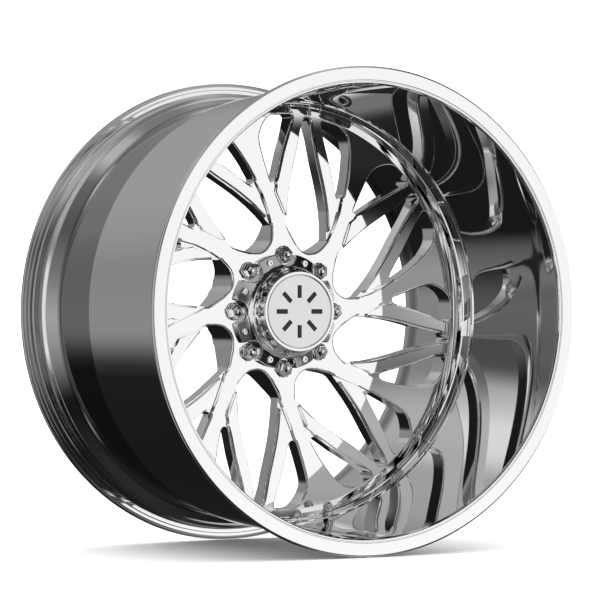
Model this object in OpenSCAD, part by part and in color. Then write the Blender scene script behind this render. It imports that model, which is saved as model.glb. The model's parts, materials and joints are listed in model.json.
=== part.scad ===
// Forged off-road wheel rim, 26 x 16, eight lugs on a 170 mm circle.
// A machined centre sits between a deep outer lip and an inner barrel half.
// Frame: the wheel axis is Y, the street side faces -Y, +Z is up.
// The origin is the wheel's centre, midway between the two flange faces.

/* [Rim] */
// Radius over the flanges
flange_r = 350; // [346:0.5:354]
// Width over the flanges
rim_w = 428.4; // [424:0.1:432]
// Radius of the bead seat at its heel
bead_r = 332.6; // [331.5:0.1:333.5]
// Radius of the flat well that the tyre is mounted over
well_r = 323; // [322:0.5:324]
// Width of the polished flat band on the outer flange
lip_band = 20; // [14:1:22]

/* [Centre] */
// Distance of the spoke face behind the wheel's mid plane
face_y = 37.5; // [36:0.5:39]
// Distance of the mounting pad behind the wheel's mid plane
pad_y = 101; // [97:0.5:104]
// Thickness of the spokes
spoke_t = 28; // [24:1:32]
// Thickness of the centre's outer ring
ring_t = 34; // [30:1:36]
// Number of main spokes, lugs and cap screws
spokes = 8; // [8:8]
// Depth of the webs and shelves round the twigs, below the spoke face
web_depth = 5; // [3:0.5:8]

/* [Hub and lugs] */
// Diameter of the lug circle
lug_pcd = 170; // [168:0.5:172]
// Radius of the centre bore
bore_r = 62.55; // [62:0.05:63]
// Radius of each stud hole
stud_hole_r = 8; // [7.6:0.1:8.2]
// Height of a lug nut above the spoke face
nut_proud = 14; // [12:0.5:16]

/* [Centre cap] */
// Radius of the cap's tower
cap_r = 59.6; // [57:0.1:60]
// Height of the cap above the spoke face
cap_h = 48.6; // [44:0.1:52]
// Radius over the lobes of the cap's base
lobe_r = 86.5; // [85:0.5:88]

/* [Valve] */
// Angle of the valve below the +X side, seen from the front
valve_angle = 78.5; // [70:0.5:85]
// Length of the stem past the ring
stem_out = 13; // [11:0.5:14]

/* [Hidden] */

$fn = 96;
eps = 0.01;
half_w = rim_w / 2;
step = 360 / spokes;
lug_r = lug_pcd / 2;

// Radii of the ring that steps from the lip down to the spoke face
ring_in_r = 296;
ring_out_r = 310.6;
window_r = 294.9;
// The centre's outer ring and the barrel bore that it drops into
centre_r = 313;
barrel_front_r = 319.5;
barrel_r = 316.4;
seal_r = 316.2;
seal_wire_r = 1.3;

// Lug nut seat, from the spoke face inwards
lug_counterbore_r = 13.4;
lug_counterbore_h = 5;
lug_cone_r = 13;
lug_cone_h = (lug_cone_r - stud_hole_r) / tan(30);

// Centre cap. The foot is the sweep from the tower into the base, as [radius, y].
foot = [[60, 8], [61, 12.5], [62.5, 16.3], [64.5, 19.5], [67, 22], [70, 23.7]];
foot_y = foot[3][1];
cap_front = face_y - cap_h;
cap_screw_r = 77.5;
cap_screw_seat = face_y - 10.4;
cap_screw_len = 22;
cap_o_ring_r = 65.2;
cap_o_ring_wire = 1.1;
disc_r = 54.6;

// Valve: where it stands on the step ring, and its lean from the radius towards the street side
valve_base_y = 13;
valve_base_r = ring_out_r - 3;
valve_tilt = atan((ring_out_r - ring_in_r) / face_y);
valve_wall = 14;
stem_r = 3.95;
thread_r = 3.6;
core_bore_r = 2.6;

alu = [0.86, 0.87, 0.88];
chrome = [0.78, 0.79, 0.82];

// ---------- helpers ----------

// Turns a solid built along +Z so that its +Z becomes the wheel's +Y
module upright() {
    rotate([-90, 0, 0]) children();
}

// Repeats its children once for each spoke, starting at the top one
module each_spoke(offset = 0) {
    for (k = [0:spokes - 1])
        rotate(k * step - 90 + offset) children();
}

// Moves its children so that +Z is the valve's axis, pointing out of the wall
module at_valve() {
    rotate(valve_angle)
        translate([valve_base_r, 0, valve_base_y])
        rotate([0, -90 - valve_tilt, 0])
        children();
}

// One point of a smooth curve through four neighbours
function blend(a, b, c, d, u) =
    0.5 * (2 * b + (c - a) * u + (2 * a - 5 * b + 4 * c - d) * u * u
    + (3 * b - a - 3 * c + d) * u * u * u);

// Smooth curve through all points of p, with n steps from each to the next
function smooth(p, n = 2) = [
    for (i = [0:len(p) - 2], j = [0:n - 1])
        blend(p[max(i - 1, 0)], p[i], p[i + 1], p[min(i + 2, len(p) - 1)], j / n)
];

// ---------- outlines of the centre, as [along the spoke, across it] ----------

// Edge of a main spoke from the near window's tip to the corner at the rim
spoke_far = [[197, -22.5], [220, -30.3], [240, -36.6], [256, -40.2]];
// Edge of the next main spoke, rim to hub
next_far = [[243, 113.9], [232, 114.1], [204, 111], [188, 107.8], [174, 104.5]];
next_near = [[106, 76], [98.7, 69.7], [91.4, 61.6], [87.9, 53.9]];

// Middle window: hub arc, first twig, rim corner, second twig
middle_window = concat(
    smooth([[86.8, 45.9], [88, 37.8], [93.1, 29.8], [101.9, 22]]),
    [[120.8, 10.4], [128, 6.8]],
    smooth([[147, 8.4], [176.6, 11.5], [203.7, 16.4], [243.3, 26], [267.4, 30.8], [283, 34]]),
    smooth([[283, 34], [288, 36.2], [290.4, 40.3], [288.6, 44.4], [284, 46.2]]),
    smooth([[284, 46.2], [262.5, 49.9], [225.9, 57.6], [194.1, 65.7], [171.9, 70.6]]),
    [[171.9, 70.6], [148.1, 74.5], [126, 76.2], [110, 76.2]],
    smooth(next_near),
    [next_near[3]]
);

// First window: between a main spoke and its twig
near_window = concat(
    smooth(spoke_far),
    smooth([[256, -40.2], [265.7, -39.4], [275.1, -36], [284.9, -29.8], [290.5, -24.2]]),
    [for (a = [-4.2:1.6:2.2]) window_r * [cos(a), sin(a)]],
    smooth([[292.6, 14.2], [289.6, 15.9], [281.6, 12.7]]),
    smooth([[281.6, 12.7], [245, 0.4], [221.2, -5.9], [205.1, -10], [198, -11.8]]),
    smooth([[198, -11.8], [194.4, -13.6], [192.6, -17.2], [193.8, -20.8], [197, -22.5]])
);

// Last window: between the second twig and the next main spoke
far_window = concat(
    [for (a = [13.8:1.8:19.2]) 294 * [cos(a), sin(a)]],
    smooth([[276.4, 97.6], [268.8, 106.4], [262.5, 110.3], [254.5, 112.7], [243, 113.9]]),
    smooth(next_far),
    smooth([[174, 104.5], [170.6, 101], [169.6, 97], [171.4, 93.8], [176.6, 92.4]]),
    smooth([[176.6, 92.4], [195.7, 88.2], [213.2, 84.4], [230.7, 79.5], [267.4, 69.3]]),
    smooth([[267.4, 69.3], [279, 66], [283.6, 66.6], [285.5, 70.1]])
);

// Low ground: the webs that join each twig to its main spoke, near side and far side
web_near = [
    [199, -21.5], [171.9, -14], [143.2, -1], [122, 9.7], [143.8, 9.2], [145.2, 5.6],
    [147, 3.7], [178.2, -11.2], [187.6, -9.8], [199.5, -12.5]
];
web_far = [
    [176, 103.5], [168, 103.3], [148, 98.6], [124, 88.6], [110, 80.5], [105, 75], [119.5, 75],
    [122.2, 80.9], [129.5, 83.3], [149.5, 91.2], [151.2, 94.3], [162.4, 92.1], [175.5, 93.5]
];
low_ground = [web_near, web_far];

// ---------- rim halves and centre ----------

module wheel_centre() {
    pad_r = 98;
    color(alu) upright() difference() {
        rotate_extrude($fn = 180) polygon([
            [bore_r, face_y], [centre_r, face_y], [centre_r, face_y + ring_t],
            [290, face_y + ring_t], [262, face_y + spoke_t],
            [133, face_y + spoke_t], [100, pad_y - 4.5],
            [pad_r, pad_y], [bore_r + 1.5, pad_y], [bore_r, pad_y - 1.5]
        ]);
        each_spoke() {
            for (w = [middle_window, near_window, far_window])
                translate([0, 0, face_y - 1])
                    linear_extrude(pad_y - face_y + 2) polygon(w);
            for (w = low_ground)
                translate([0, 0, face_y - 1])
                    linear_extrude(web_depth + 1) polygon(w);
        }
        each_spoke() translate([lug_r, 0, 0]) lug_hole();
        each_spoke(step / 2) translate([cap_screw_r, 0, face_y - 1]) cylinder(r = 2.5, h = 13, $fn = 32);
    }
}

// Counterbore, 60 degree seat and stud hole of one lug
module lug_hole() {
    seat = face_y + lug_counterbore_h;
    translate([0, 0, face_y - 1]) cylinder(r = lug_counterbore_r, h = lug_counterbore_h + 1);
    translate([0, 0, seat]) cylinder(r1 = lug_cone_r, r2 = stud_hole_r, h = lug_cone_h);
    translate([0, 0, seat + lug_cone_h - eps]) cylinder(r = stud_hole_r, h = pad_y);
}

// Tyre side of a flange and bead seat, from the well to the flange's edge.
// side is -1 for the outer half and 1 for the inner half.
function bead_side(side, toe_r) = [
    [toe_r, side * 177], [bead_r - 0.9, side * 179.5], [bead_r - 1.8, side * 183],
    [bead_r, side * 200], [bead_r + 0.8, side * 202.4], [bead_r + 2.4, side * 204],
    [flange_r - 5, side * 205], [flange_r - 1.4, side * 206.4], [flange_r, side * 209],
    [flange_r, side * (half_w - 3.4)], [flange_r - 1.6, side * (half_w - 0.9)],
    [flange_r - 4.6, side * half_w]
];

module outer_lip() {
    band_in = flange_r - lip_band;
    color(alu) upright() difference() {
        rotate_extrude($fn = 240) polygon(concat(
            [[well_r, face_y]],
            bead_side(-1, bead_r - 2.2),
            [
                [band_in, -half_w], [band_in - 0.8, -half_w + 1], [band_in - 1.8, -half_w + 0.2],
                [band_in - 3.6, -half_w + 0.2], [band_in - 5.6, -half_w + 1.6],
                [band_in - 6.4, -half_w + 4.4],
                [ring_out_r + 0.9, -3], [ring_out_r - 0.6, -0.6], [ring_out_r - 0.4, 3],
                [ring_out_r - 1.6, 8.4], [ring_out_r - 4, 17.4], [ring_out_r - 5.4, 19],
                [ring_out_r - 5.8, 22], [ring_out_r - 7.2, 26], [ring_in_r + 3.4, 32.5],
                [ring_in_r, face_y - 0.8], [ring_in_r, face_y]
            ]
        ));
        at_valve() {
            cylinder(r = 9.4, h = 40, $fn = 48);
            translate([0, 0, -60]) cylinder(r = 4.15, h = 80, $fn = 48);
            translate([0, 0, -valve_wall - 40]) cylinder(r = 9, h = 40, $fn = 48);
        }
    }
}

module inner_barrel() {
    wall_r = 311;
    color(alu) upright() difference() {
        rotate_extrude($fn = 240) polygon(concat(
            [
                [centre_r, face_y], [barrel_front_r, face_y],
                [barrel_front_r, 42], [barrel_r, 45.5], [barrel_r, 147.6], [326, 175.5]
            ],
            bead_side(1, bead_r - 4),
            [
                [bead_r - 7.6, half_w], [bead_r - 10.6, half_w - 1.2],
                [bead_r - 12, half_w - 4], [wall_r, 152],
                [wall_r, face_y + ring_t + 6], [centre_r, face_y + ring_t]
            ]
        ));
        rotate_extrude($fn = 180)
            translate([seal_r - seal_wire_r, face_y - 1])
            square([2 * seal_wire_r, 1 + 2 * seal_wire_r]);
    }
}

module rim_joint_seal() {
    color([0.1, 0.1, 0.1]) upright() rotate_extrude($fn = 180)
        translate([seal_r, face_y + seal_wire_r])
        circle(r = seal_wire_r, $fn = 24);
}

// ---------- lug nuts ----------

module lug_nut() {
    seat = face_y + lug_counterbore_h;
    top = face_y - nut_proud;
    hex_r = 12.6;
    dome_r = 16;
    difference() {
        union() {
            translate([0, 0, seat]) cylinder(r1 = lug_cone_r, r2 = 8.6, h = 4.4 / tan(30));
            translate([0, 0, face_y + 1]) cylinder(r = lug_cone_r, h = lug_counterbore_h - 1);
            translate([0, 0, face_y - 1]) cylinder(r1 = hex_r, r2 = lug_cone_r, h = 2);
            intersection() {
                translate([0, 0, top]) cylinder(r = hex_r, h = nut_proud, $fn = 6);
                translate([0, 0, top]) rotate_extrude() nut_dome(hex_r, nut_proud);
            }
        }
        translate([0, 0, top + 8]) cylinder(r = 6.4, h = 40, $fn = 48);
    }
}

// Half section of the nut's domed end
module nut_dome(r, h) {
    steps = 6;
    polygon(concat(
        [[0, h], [r + 0.5, h]],
        [for (i = [0:steps]) [r * cos(i * 90 / steps) + 0.4 * cos(i * 90 / steps),
            6 * (1 - sin(i * 90 / steps))]]
    ));
}

module lug_nuts() {
    color(chrome) upright() each_spoke() translate([lug_r, 0, 0]) rotate(15) lug_nut();
}

// ---------- centre cap ----------

module cap_base() {
    color(chrome) upright() difference() {
        rotate_extrude($fn = 180) polygon([
            [57, foot_y], foot[3], foot[4], foot[5], [lobe_r - 0.9, 29.2], [lobe_r, 30.2],
            [lobe_r, face_y], [57, face_y]
        ]);
        each_spoke() translate([lug_r, 0, 0]) cylinder(r = 17, h = 60);
        each_spoke(step / 2) translate([cap_screw_r, 0, 0]) {
            cylinder(r = 5.2, h = cap_screw_seat);
            cylinder(r = 2.7, h = 60, $fn = 32);
        }
        rotate_extrude($fn = 180)
            translate([cap_o_ring_r - cap_o_ring_wire, face_y - 2 * cap_o_ring_wire])
            square([2 * cap_o_ring_wire, 4]);
    }
}

module cap_tower() {
    color(chrome) upright() rotate_extrude($fn = 180) polygon([
        [cap_r - 1, cap_front + 1.4], [cap_r, cap_front + 2.4], [cap_r, 4],
        foot[0], foot[1], foot[2], foot[3], [57, foot_y], [57, 30],
        [54, 30], [54, cap_front + 7.4], [disc_r - 4, cap_front + 7.4],
        [disc_r - 4, cap_front + 4.4], [disc_r, cap_front + 4.4], [disc_r, cap_front + 1.4]
    ]);
}

module cap_face_disc() {
    color(alu) upright() difference() {
        translate([0, 0, cap_front + 0.6]) cylinder(r = disc_r, h = 3.8, $fn = 180);
        translate([0, 0, cap_front - 1]) linear_extrude(2.4) emblem_outline();
    }
}

module cap_trim_ring() {
    color(alu) upright() rotate_extrude($fn = 180) polygon([
        [disc_r + 0.3, cap_front + 1.4], [disc_r + 0.3, cap_front + 0.5],
        [disc_r + 0.9, cap_front], [cap_r - 1.2, cap_front], [cap_r - 0.5, cap_front + 0.5],
        [cap_r - 0.5, cap_front + 1.4]
    ]);
}

// A plain ring of eight bars, one for each spoke
module emblem_outline() {
    for (k = [0:spokes - 1])
        rotate(k * step) translate([20, -3.5]) square([19, 7]);
}

module cap_emblem_inlay() {
    color([0.06, 0.06, 0.07]) upright()
        translate([0, 0, cap_front + 0.4]) linear_extrude(1) emblem_outline();
}

module cap_screws() {
    color([0.5, 0.51, 0.53]) upright() each_spoke(step / 2)
        translate([cap_screw_r, 0, cap_screw_seat]) button_screw();
}

// Button-head socket screw, its head's underside at zero
module button_screw() {
    head_r = 4.8;
    head_h = 2.8;
    difference() {
        union() {
            rotate_extrude($fn = 48) polygon([
                [0, 0], [head_r, 0], [head_r, -0.5], [head_r - 0.7, -1.6],
                [head_r - 1.9, -2.4], [head_r - 3, -head_h], [0, -head_h]
            ]);
            cylinder(r = 2.5, h = cap_screw_len, $fn = 32);
        }
        translate([0, 0, -head_h - 1]) cylinder(r = 1.7, h = 2.8, $fn = 6);
    }
}

module cap_o_ring() {
    color([0.08, 0.08, 0.08]) upright() rotate_extrude($fn = 120)
        translate([cap_o_ring_r, face_y - cap_o_ring_wire]) circle(r = cap_o_ring_wire, $fn = 24);
}

// ---------- valve ----------

module valve_stem() {
    color(chrome) upright() at_valve() difference() {
        rotate_extrude($fn = 48) polygon([
            [0, -valve_wall - 4.5], [7.6, -valve_wall - 4.5], [7.6, -valve_wall - 2.5],
            [stem_r, -valve_wall - 2.5], [stem_r, 6.4], [thread_r, 6.8],
            [thread_r, stem_out - 0.5], [thread_r - 0.5, stem_out], [0, stem_out]
        ]);
        translate([0, 0, -6]) cylinder(r = core_bore_r, h = 40, $fn = 48);
        translate([0, 0, -40]) cylinder(r = 1.9, h = 60, $fn = 32);
    }
}

module valve_grommet() {
    color([0.09, 0.09, 0.09]) upright() at_valve() translate([0, 0, -valve_wall - 2.5]) difference() {
        cylinder(r = 7.8, h = 2.5, $fn = 48);
        translate([0, 0, -1]) cylinder(r = stem_r, h = 10, $fn = 48);
    }
}

module valve_washer() {
    color([0.7, 0.7, 0.7]) upright() at_valve() difference() {
        cylinder(r = 9, h = 1, $fn = 48);
        translate([0, 0, -1]) cylinder(r = 4.2, h = 10, $fn = 48);
    }
}

module valve_nut() {
    color(chrome) upright() at_valve() translate([0, 0, 1]) difference() {
        intersection() {
            cylinder(r = 8.6, h = 4.4, $fn = 6);
            cylinder(r1 = 11.3, r2 = 8, h = 4.4, $fn = 48);
        }
        translate([0, 0, -1]) cylinder(r = stem_r, h = 10, $fn = 48);
    }
}

module valve_cap() {
    ribs = 16;
    color(chrome) upright() at_valve() difference() {
        union() {
            rotate_extrude($fn = 48) polygon([
                [0, 5.8], [6.4, 5.8], [6.4, 15], [5.6, 16.6], [3.6, 17.4], [0, 17.4]
            ]);
            for (i = [0:ribs - 1])
                rotate(i * 360 / ribs) translate([6.3, 0, 7.4]) cylinder(r = 0.6, h = 7, $fn = 16);
        }
        translate([0, 0, 5]) cylinder(r = stem_r + 0.3, h = 2, $fn = 48);
        translate([0, 0, 5]) cylinder(r = thread_r + 0.3, h = stem_out - 3.6, $fn = 48);
    }
}

module valve_cap_seal() {
    color([0.08, 0.08, 0.08]) upright() at_valve()
        translate([0, 0, stem_out + 0.1]) cylinder(r = 3.7, h = 1.2, $fn = 48);
}

module valve_core_body() {
    color([0.75, 0.62, 0.3]) upright() at_valve() difference() {
        translate([0, 0, 2]) cylinder(r = core_bore_r, h = 7.8, $fn = 48);
        translate([0, 0, 3]) cylinder(r = 1.75, h = 10, $fn = 48);
        cylinder(r = 1.05, h = 10, $fn = 48);
    }
}

// Points of a coil's wire, one ring of sides at each step
function coil_ring(i, steps, turns, r, wire, h, sides) = [
    for (j = [0:sides - 1])
        let (a = 360 * turns * i / steps, b = 360 * j / sides, q = r + wire * cos(b))
            [q * cos(a), q * sin(a), h * i / steps + wire * sin(b)]
];

module coil(turns, r, wire, h, sides = 6, per_turn = 12) {
    steps = turns * per_turn;
    points = [for (i = [0:steps]) each coil_ring(i, steps, turns, r, wire, h, sides)];
    walls = [
        for (i = [0:steps - 1], j = [0:sides - 1])
            let (n = (j + 1) % sides, a = i * sides, b = a + sides)
                [a + j, b + j, b + n, a + n]
    ];
    ends = [[for (j = [0:sides - 1]) j], [for (j = [sides - 1:-1:0]) steps * sides + j]];
    polyhedron(points, concat(walls, ends));
}

module valve_core_spring() {
    wire = 0.19;
    color([0.6, 0.6, 0.62]) upright() at_valve()
        translate([0, 0, 3 + wire]) coil(4, 1.25, wire, 4.8);
}

module valve_core_pin() {
    color([0.8, 0.68, 0.35]) upright() at_valve() rotate_extrude($fn = 32) polygon([
        [0, 0.1], [1.6, 0.1], [1.6, 0.8], [0.7, 0.8], [0.7, 8.2], [1.45, 8.2], [1.45, 9],
        [0.7, 9], [0.7, 11.8], [0.5, 12], [0, 12]
    ]);
}

module valve_core_seal() {
    color([0.12, 0.12, 0.12]) upright() at_valve() translate([0, 0, 0.8]) difference() {
        cylinder(r = 1.7, h = 1.2, $fn = 32);
        translate([0, 0, -1]) cylinder(r = 0.7, h = 4, $fn = 32);
    }
}

wheel_centre();
outer_lip();
inner_barrel();
rim_joint_seal();
lug_nuts();
cap_base();
cap_tower();
cap_face_disc();
cap_trim_ring();
cap_emblem_inlay();
cap_screws();
cap_o_ring();
valve_stem();
valve_grommet();
valve_washer();
valve_nut();
valve_cap();
valve_cap_seal();
valve_core_body();
valve_core_spring();
valve_core_pin();
valve_core_seal();
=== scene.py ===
"""A forged 26 x 16 wheel rim: the looks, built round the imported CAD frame.

The wheel's axis is Y, the street side faces -Y and +Z is up. Lengths are in millimetres and
become metres where a mesh is made. A profile point is (radius, y).
"""
import json
import math

import bmesh
import bpy
import numpy as np
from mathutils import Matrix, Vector
from mathutils.geometry import delaunay_2d_cdt

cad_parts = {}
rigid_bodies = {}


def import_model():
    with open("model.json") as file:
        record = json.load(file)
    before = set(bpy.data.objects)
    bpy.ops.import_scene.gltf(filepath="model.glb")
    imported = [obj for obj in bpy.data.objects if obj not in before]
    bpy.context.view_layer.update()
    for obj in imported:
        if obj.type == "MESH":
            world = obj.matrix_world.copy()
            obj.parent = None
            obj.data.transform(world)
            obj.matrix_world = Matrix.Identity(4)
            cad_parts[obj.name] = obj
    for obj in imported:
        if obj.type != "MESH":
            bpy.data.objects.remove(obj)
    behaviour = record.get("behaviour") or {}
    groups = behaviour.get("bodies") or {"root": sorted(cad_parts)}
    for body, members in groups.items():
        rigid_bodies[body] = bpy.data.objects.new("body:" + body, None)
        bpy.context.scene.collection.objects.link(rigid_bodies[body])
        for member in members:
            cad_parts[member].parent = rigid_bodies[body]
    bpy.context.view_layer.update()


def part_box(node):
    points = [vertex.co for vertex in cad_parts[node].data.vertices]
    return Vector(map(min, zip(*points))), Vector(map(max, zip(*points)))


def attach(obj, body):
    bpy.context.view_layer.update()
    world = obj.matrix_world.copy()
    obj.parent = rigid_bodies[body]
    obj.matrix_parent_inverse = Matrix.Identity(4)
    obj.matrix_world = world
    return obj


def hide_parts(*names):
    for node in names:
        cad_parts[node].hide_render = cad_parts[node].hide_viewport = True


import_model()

MM = 0.001
LOW, HIGH = 0, 1
X, Y = 0, 1


def end_of(node, end, axis):
    """The low or high end of a CAD node's box along an axis, in millimetres."""
    return round(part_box(node)[end][axis] / MM, 2)


# Driving sizes, read from the frame
FLANGE_R = end_of("inner_barrel", HIGH, X)
HALF_W = end_of("inner_barrel", HIGH, Y)
FACE_Y = end_of("wheel_centre", LOW, Y)
PAD_Y = end_of("wheel_centre", HIGH, Y)
CENTRE_R = end_of("wheel_centre", HIGH, X)
NUT_TOP = end_of("lug_nuts", LOW, Y)
CAP_FRONT = end_of("cap_trim_ring", LOW, Y)
DISC_R = end_of("cap_face_disc", HIGH, X)

# Sizes that a box doesn't give, as in the CAD model
SPOKES = 8
STEP = 360 / SPOKES
BORE_R = 62.55
LUG_R = 85.0
LUG_SEAT_DEPTH = 5.0
CAP_R = DISC_R + 5.0
LOBE_R = 86.5
CAP_SCREW_R = 77.5
CAP_SCREW_SEAT = 27.1
BEAD_R = 332.6
WELL_R = 323.0
BARREL_R = 316.4
BARREL_FRONT_R = 319.5
BARREL_WALL_R = 311.0
CENTRE_RING_T = 34.0
RING_IN_R = 296.0
RING_OUT_R = 310.6
WEB_DEPTH = 5.0
VALVE_ANGLE = 78.5
VALVE_BASE = (RING_OUT_R - 3, 13.0)
VALVE_TILT = math.atan((RING_OUT_R - RING_IN_R) / FACE_Y)
VALVE_WALL = 14.0

# The material slot of each CAD node. A piece that stands for a node takes the node's slot.
NODE_SLOTS = {
    "wheel_centre": "polished_face",
    "outer_lip": "polished_lip",
    "inner_barrel": "polished_barrel",
    "rim_joint_seal": "sealant",
    "lug_nuts": "chrome_nut",
    "cap_base": "chrome_cap",
    "cap_tower": "chrome_cap",
    "cap_face_disc": "cap_disc",
    "cap_trim_ring": "cap_ring",
    "cap_emblem_inlay": "black_inlay",
    "cap_screws": "screw_steel",
    "cap_o_ring": "rubber_seal",
    "valve_stem": "valve_chrome",
    "valve_nut": "valve_chrome",
    "valve_cap": "valve_chrome",
    "valve_washer": "washer_steel",
    "valve_grommet": "rubber_seal",
    "valve_cap_seal": "rubber_seal",
    "valve_core_body": "core_brass",
    "valve_core_pin": "core_brass",
    "valve_core_spring": "washer_steel",
    "valve_core_seal": "rubber_seal",
}
# The slot of every mesh by its name: the CAD nodes, and each piece once it is built
slot_of = dict(NODE_SLOTS)


# ---------------------------------------------------------------- mesh helpers

def new_object(name, verts, faces, body="rim"):
    """A mesh object from millimetre points, riding on a body if one is named."""
    mesh = bpy.data.meshes.new(name)
    mesh.from_pydata([tuple(c * MM for c in v) for v in verts], [], faces)
    mesh.validate()
    obj = bpy.data.objects.new(name, mesh)
    bpy.context.scene.collection.objects.link(obj)
    bm = bmesh.new()
    bm.from_mesh(mesh)
    bmesh.ops.remove_doubles(bm, verts=bm.verts, dist=1e-6)
    bmesh.ops.recalc_face_normals(bm, faces=bm.faces)
    bm.to_mesh(mesh)
    bm.free()
    if body:
        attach(obj, body)
    return obj


def smooth(obj, sharp):
    """Smooth shading that keeps edges sharper than the given angle, with flat faces flat."""
    mesh = obj.data
    for p in mesh.polygons:
        p.use_smooth = True
    mesh.set_sharp_from_angle(angle=math.radians(sharp))
    weighted = obj.modifiers.new("weighted", "WEIGHTED_NORMAL")
    weighted.keep_sharp = True
    weighted.weight = 80


def stand_in(obj, node, sharp):
    """Finishes a piece that stands for a CAD node."""
    smooth(obj, sharp)
    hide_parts(node)
    slot_of[obj.name] = NODE_SLOTS[node]


def piece(name, node, shape, sharp=30, body="rim"):
    """A finished piece from verts and faces, standing for a CAD node."""
    stand_in(new_object(name, *shape, body), node, sharp)


def drilled(obj, shape):
    """Cuts a solid, given as verts and faces, out of an object's mesh."""
    cutter = new_object("cutter", *shape, body=None)
    cut = obj.modifiers.new("drill", "BOOLEAN")
    cut.operation = "DIFFERENCE"
    cut.solver = "EXACT"
    cut.object = cutter
    whole = obj.evaluated_get(bpy.context.evaluated_depsgraph_get())
    mesh = bpy.data.meshes.new_from_object(whole)
    obj.modifiers.remove(cut)
    obj.data = mesh
    bpy.data.objects.remove(cutter)


def filleted(points, steps=5):
    """A closed profile whose corners are rounded. Each point is (r, y, fillet radius)."""
    out = []
    n = len(points)
    for i, (r, y, radius) in enumerate(points):
        p = Vector((r, y))
        a = Vector(points[i - 1][:2]) - p
        b = Vector(points[(i + 1) % n][:2]) - p
        if radius <= 0 or a.length < 1e-6 or b.length < 1e-6:
            out.append((r, y))
            continue
        half = a.angle(b) / 2
        cut = min(radius / math.tan(half), a.length * 0.49, b.length * 0.49)
        start, end = p + a.normalized() * cut, p + b.normalized() * cut
        # a rational quadratic curve between the corner's tangents is an arc
        w = math.sin(half)
        for k in range(steps + 1):
            u = k / steps
            q = ((1 - u) ** 2 * start + 2 * u * (1 - u) * w * p + u ** 2 * end) / (
                (1 - u) ** 2 + 2 * u * (1 - u) * w + u ** 2)
            out.append((q.x, q.y))
    return out


def lathe(name, points, segments):
    """Turns a closed profile of (r, y, fillet radius) points about the wheel's axis."""
    profile = filleted(points)
    verts, faces = [], []
    n = len(profile)
    for s in range(segments):
        a = 2 * math.pi * s / segments
        verts += [(r * math.cos(a), y, r * math.sin(a)) for r, y in profile]
    for s in range(segments):
        t = (s + 1) % segments
        for i in range(n):
            j = (i + 1) % n
            faces.append((s * n + i, s * n + j, t * n + j, t * n + i))
    return new_object(name, verts, faces)


def rings(levels, count=72, loop=False):
    """Verts and faces of a solid about +Z. levels is a list of (radius, z), from end to end.

    A radius is a number or a function of the angle. With loop the last level joins the first.
    """
    verts, faces = [], []
    for radius, z in levels:
        for k in range(count):
            a = 2 * math.pi * k / count
            r = radius(a) if callable(radius) else radius
            verts.append((r * math.cos(a), r * math.sin(a), z))
    n = len(levels)
    for i in range(n if loop else n - 1):
        j = (i + 1) % n
        for k in range(count):
            m = (k + 1) % count
            faces.append((i * count + k, i * count + m, j * count + m, j * count + k))
    if not loop:
        faces.append(tuple(range(count - 1, -1, -1)))
        faces.append(tuple(range((n - 1) * count, n * count)))
    return verts, faces


def placed(shapes):
    """Joins (place, (verts, faces)) pairs into one verts and faces."""
    verts, faces = [], []
    for place, (points, loops) in shapes:
        base = len(verts)
        verts += [place(*p) for p in points]
        faces += [tuple(base + i for i in loop) for loop in loops]
    return verts, faces


def polar(radius, angle):
    """The point at a radius and an angle in degrees."""
    return radius * math.cos(math.radians(angle)), radius * math.sin(math.radians(angle))


def spoke_angle(k):
    """The angle of spoke k. Spoke 0 points up and the rest follow clockwise."""
    return 90 - STEP * k


def on_face(radius, angle, turn=0.0):
    """Places a shape with its +Z along the wheel's +Y, at a radius and angle of the face."""
    cx, cz = polar(radius, angle)
    t = math.radians(turn + angle)
    c, s = math.cos(t), math.sin(t)

    def place(x, y, z):
        return (cx + x * c - y * s, z, cz + x * s + y * c)
    return place


def on_valve():
    """Places a shape with its +Z along the valve's axis, out of the wall."""
    v = math.radians(VALVE_ANGLE)
    radius, depth = VALVE_BASE
    out = Vector((-math.cos(VALVE_TILT) * math.cos(v), -math.sin(VALVE_TILT),
                  math.cos(VALVE_TILT) * math.sin(v)))
    side = Vector((math.sin(v), 0, math.cos(v)))
    up = out.cross(side)
    base = Vector((radius * math.cos(v), depth, -radius * math.sin(v)))

    def place(x, y, z):
        return tuple(base + side * x + up * y + out * z)
    return place


def hexagon(corner_r, cut_r=None):
    """Radius of a hexagon by angle, with its corners cut to a circle if one is given."""
    flat = corner_r * math.cos(math.radians(30))
    limit = corner_r if cut_r is None else cut_r

    def radius(a):
        return min(flat / math.cos((a % (math.pi / 3)) - math.pi / 6), limit)
    return radius


def circle(cx, cz, r, count=48):
    return [Vector((cx + r * math.cos(2 * math.pi * k / count),
                    cz + r * math.sin(2 * math.pi * k / count))) for k in range(count)]


def arc_points(radius, a0, a1, count):
    return [Vector(polar(radius, a0 + (a1 - a0) * k / count)) for k in range(count + 1)]


def spline(points, steps=4):
    """Smooth curve through the points, the last one included."""
    pts = [Vector(p) for p in points]
    out = []
    for i in range(len(pts) - 1):
        a, b = pts[max(i - 1, 0)], pts[i]
        c, d = pts[i + 1], pts[min(i + 2, len(pts) - 1)]
        for k in range(steps):
            u = k / steps
            out.append(0.5 * (2 * b + (c - a) * u + (2 * a - 5 * b + 4 * c - d) * u * u
                              + (3 * b - a - 3 * c + d) * u ** 3))
    out.append(pts[-1])
    return out


def turning(loop):
    """Twice a loop's area, positive where it runs anticlockwise."""
    return sum(Vector(loop[i - 1]).cross(Vector(loop[i])) for i in range(len(loop)))


def offset_line(points, distance):
    """The open line moved sideways, to its right for a positive distance."""
    n = len(points)
    out = []
    for i, p in enumerate(points):
        a, b = Vector(points[max(i - 1, 0)]), Vector(points[min(i + 1, n - 1)])
        t = (b - a).normalized()
        out.append(Vector(p) + Vector((t.y, -t.x)) * distance)
    return out


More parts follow.
